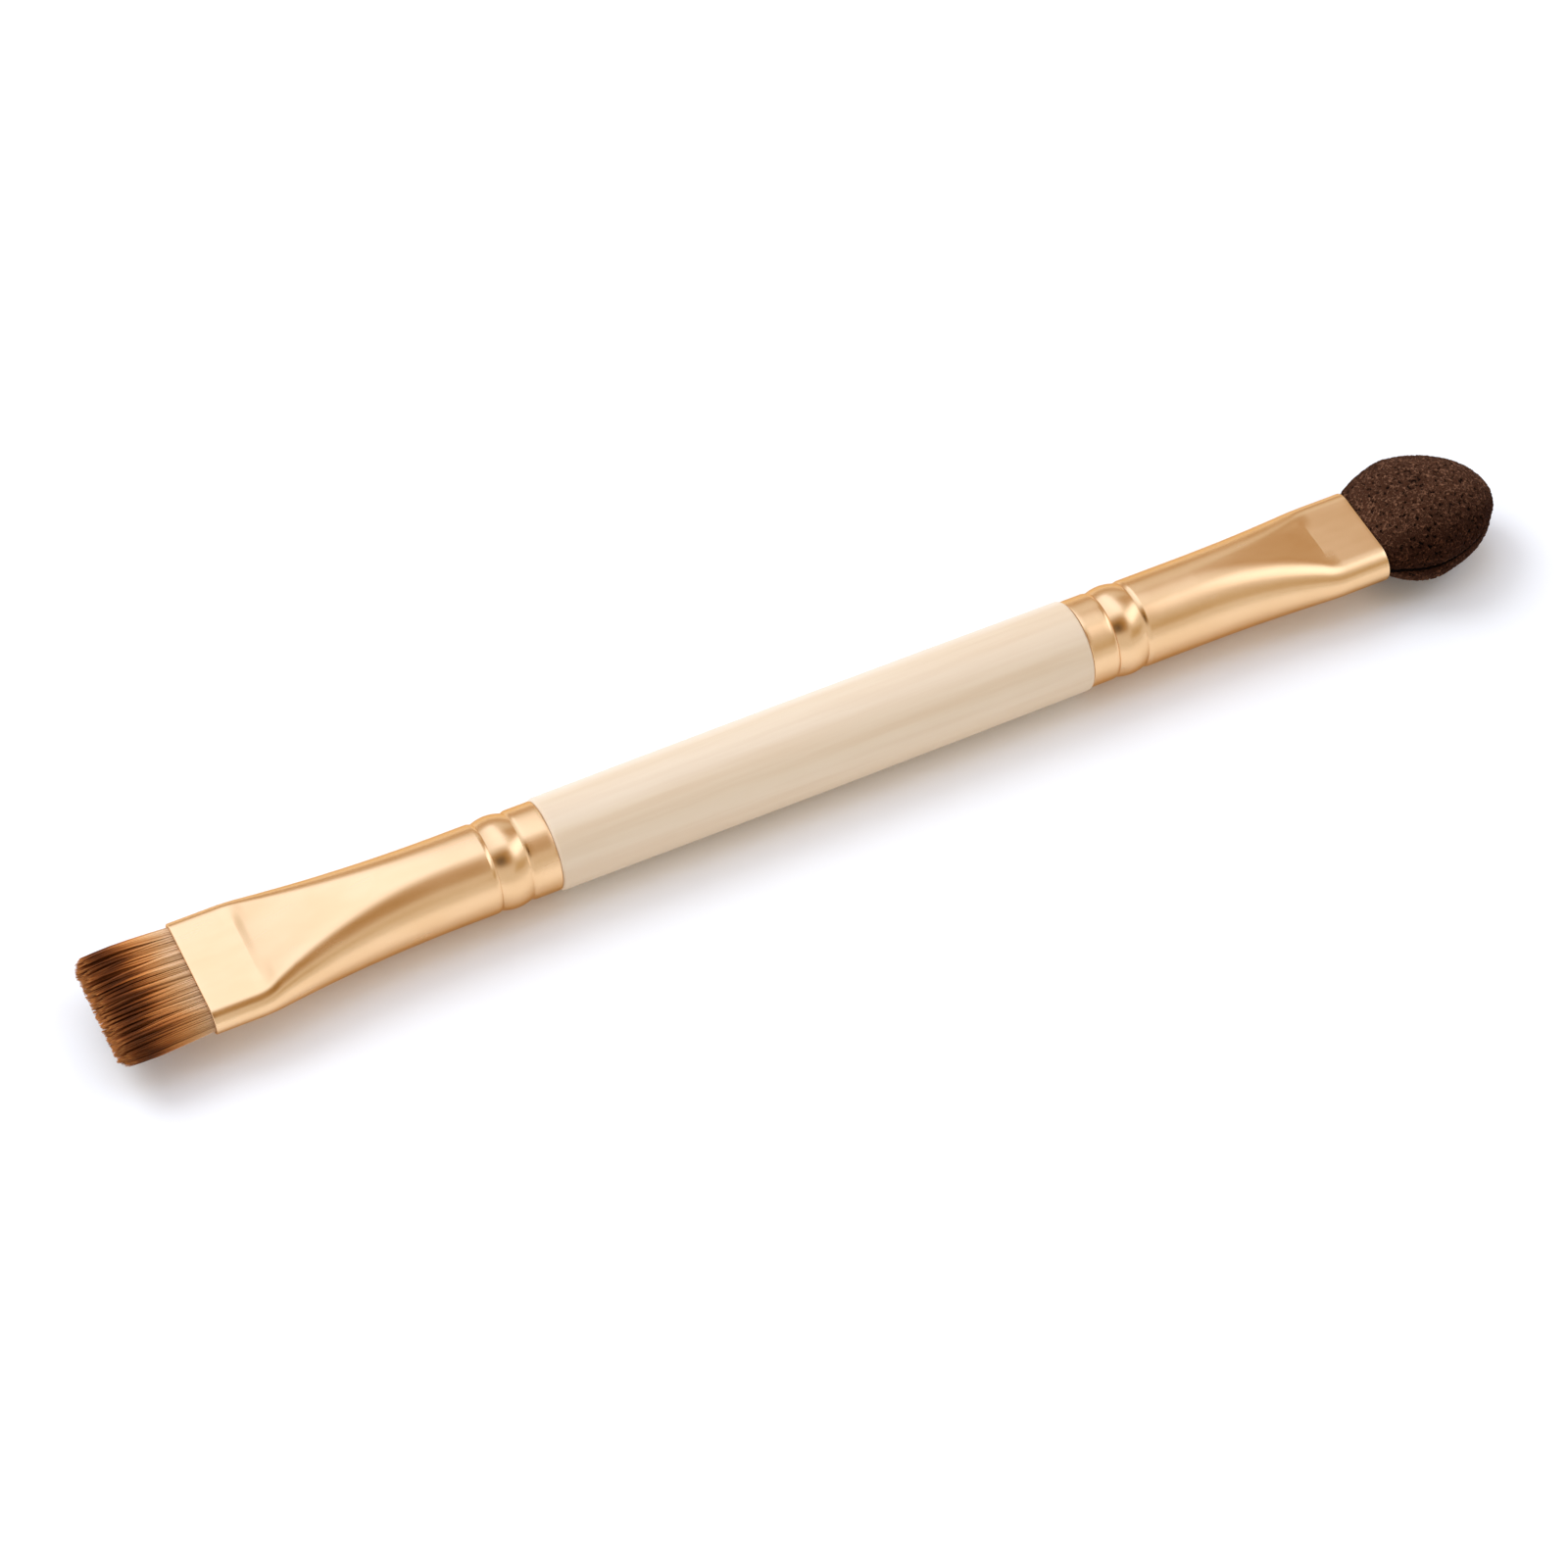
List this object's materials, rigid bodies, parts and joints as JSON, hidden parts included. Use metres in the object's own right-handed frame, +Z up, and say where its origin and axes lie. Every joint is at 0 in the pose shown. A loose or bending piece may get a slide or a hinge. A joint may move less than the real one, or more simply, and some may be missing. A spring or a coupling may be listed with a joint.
{
  "type": "eyeshadow brush",
  "caption": "Double-ended eyeshadow brush: lacquered round handle, flat bristle tuft at the near end and foam sponge applicator at the far end, each in a pressed metal ferrule.",
  "frame": {"origin": "on the table that the brush lies on, under the middle of its length, on the plane of symmetry", "axes": "+X along the brush towards the sponge, +Y across the flats, +Z up, square to the pressed flats"},
  "size_m": [0.14, 0.0128, 0.0093],
  "materials": {
    "handle_lacquer": "cream satin lacquer on turned wood",
    "ferrule_gold": "satin champagne-gold anodised",
    "bristle_hair": "tapered synthetic filaments, dark band and golden tips",
    "sponge_foam": "fine open-cell foam",
    "cured_glue": "cured epoxy",
    "core_plastic": "moulded plastic"
  },
  "bodies": {
    "root": {"handle": "handle_lacquer", "brush_ferrule": "ferrule_gold", "sponge_ferrule": "ferrule_gold", "bristle_tuft": "bristle_hair", "bristle_epoxy_plug": "cured_glue", "brush_tenon_glue": "cured_glue", "sponge_tenon_glue": "cured_glue", "sponge_core": "core_plastic", "sponge_upper_half": "sponge_foam", "sponge_lower_half": "sponge_foam", "sponge_glue_plug": "cured_glue"}
  },
  "joints": []
}
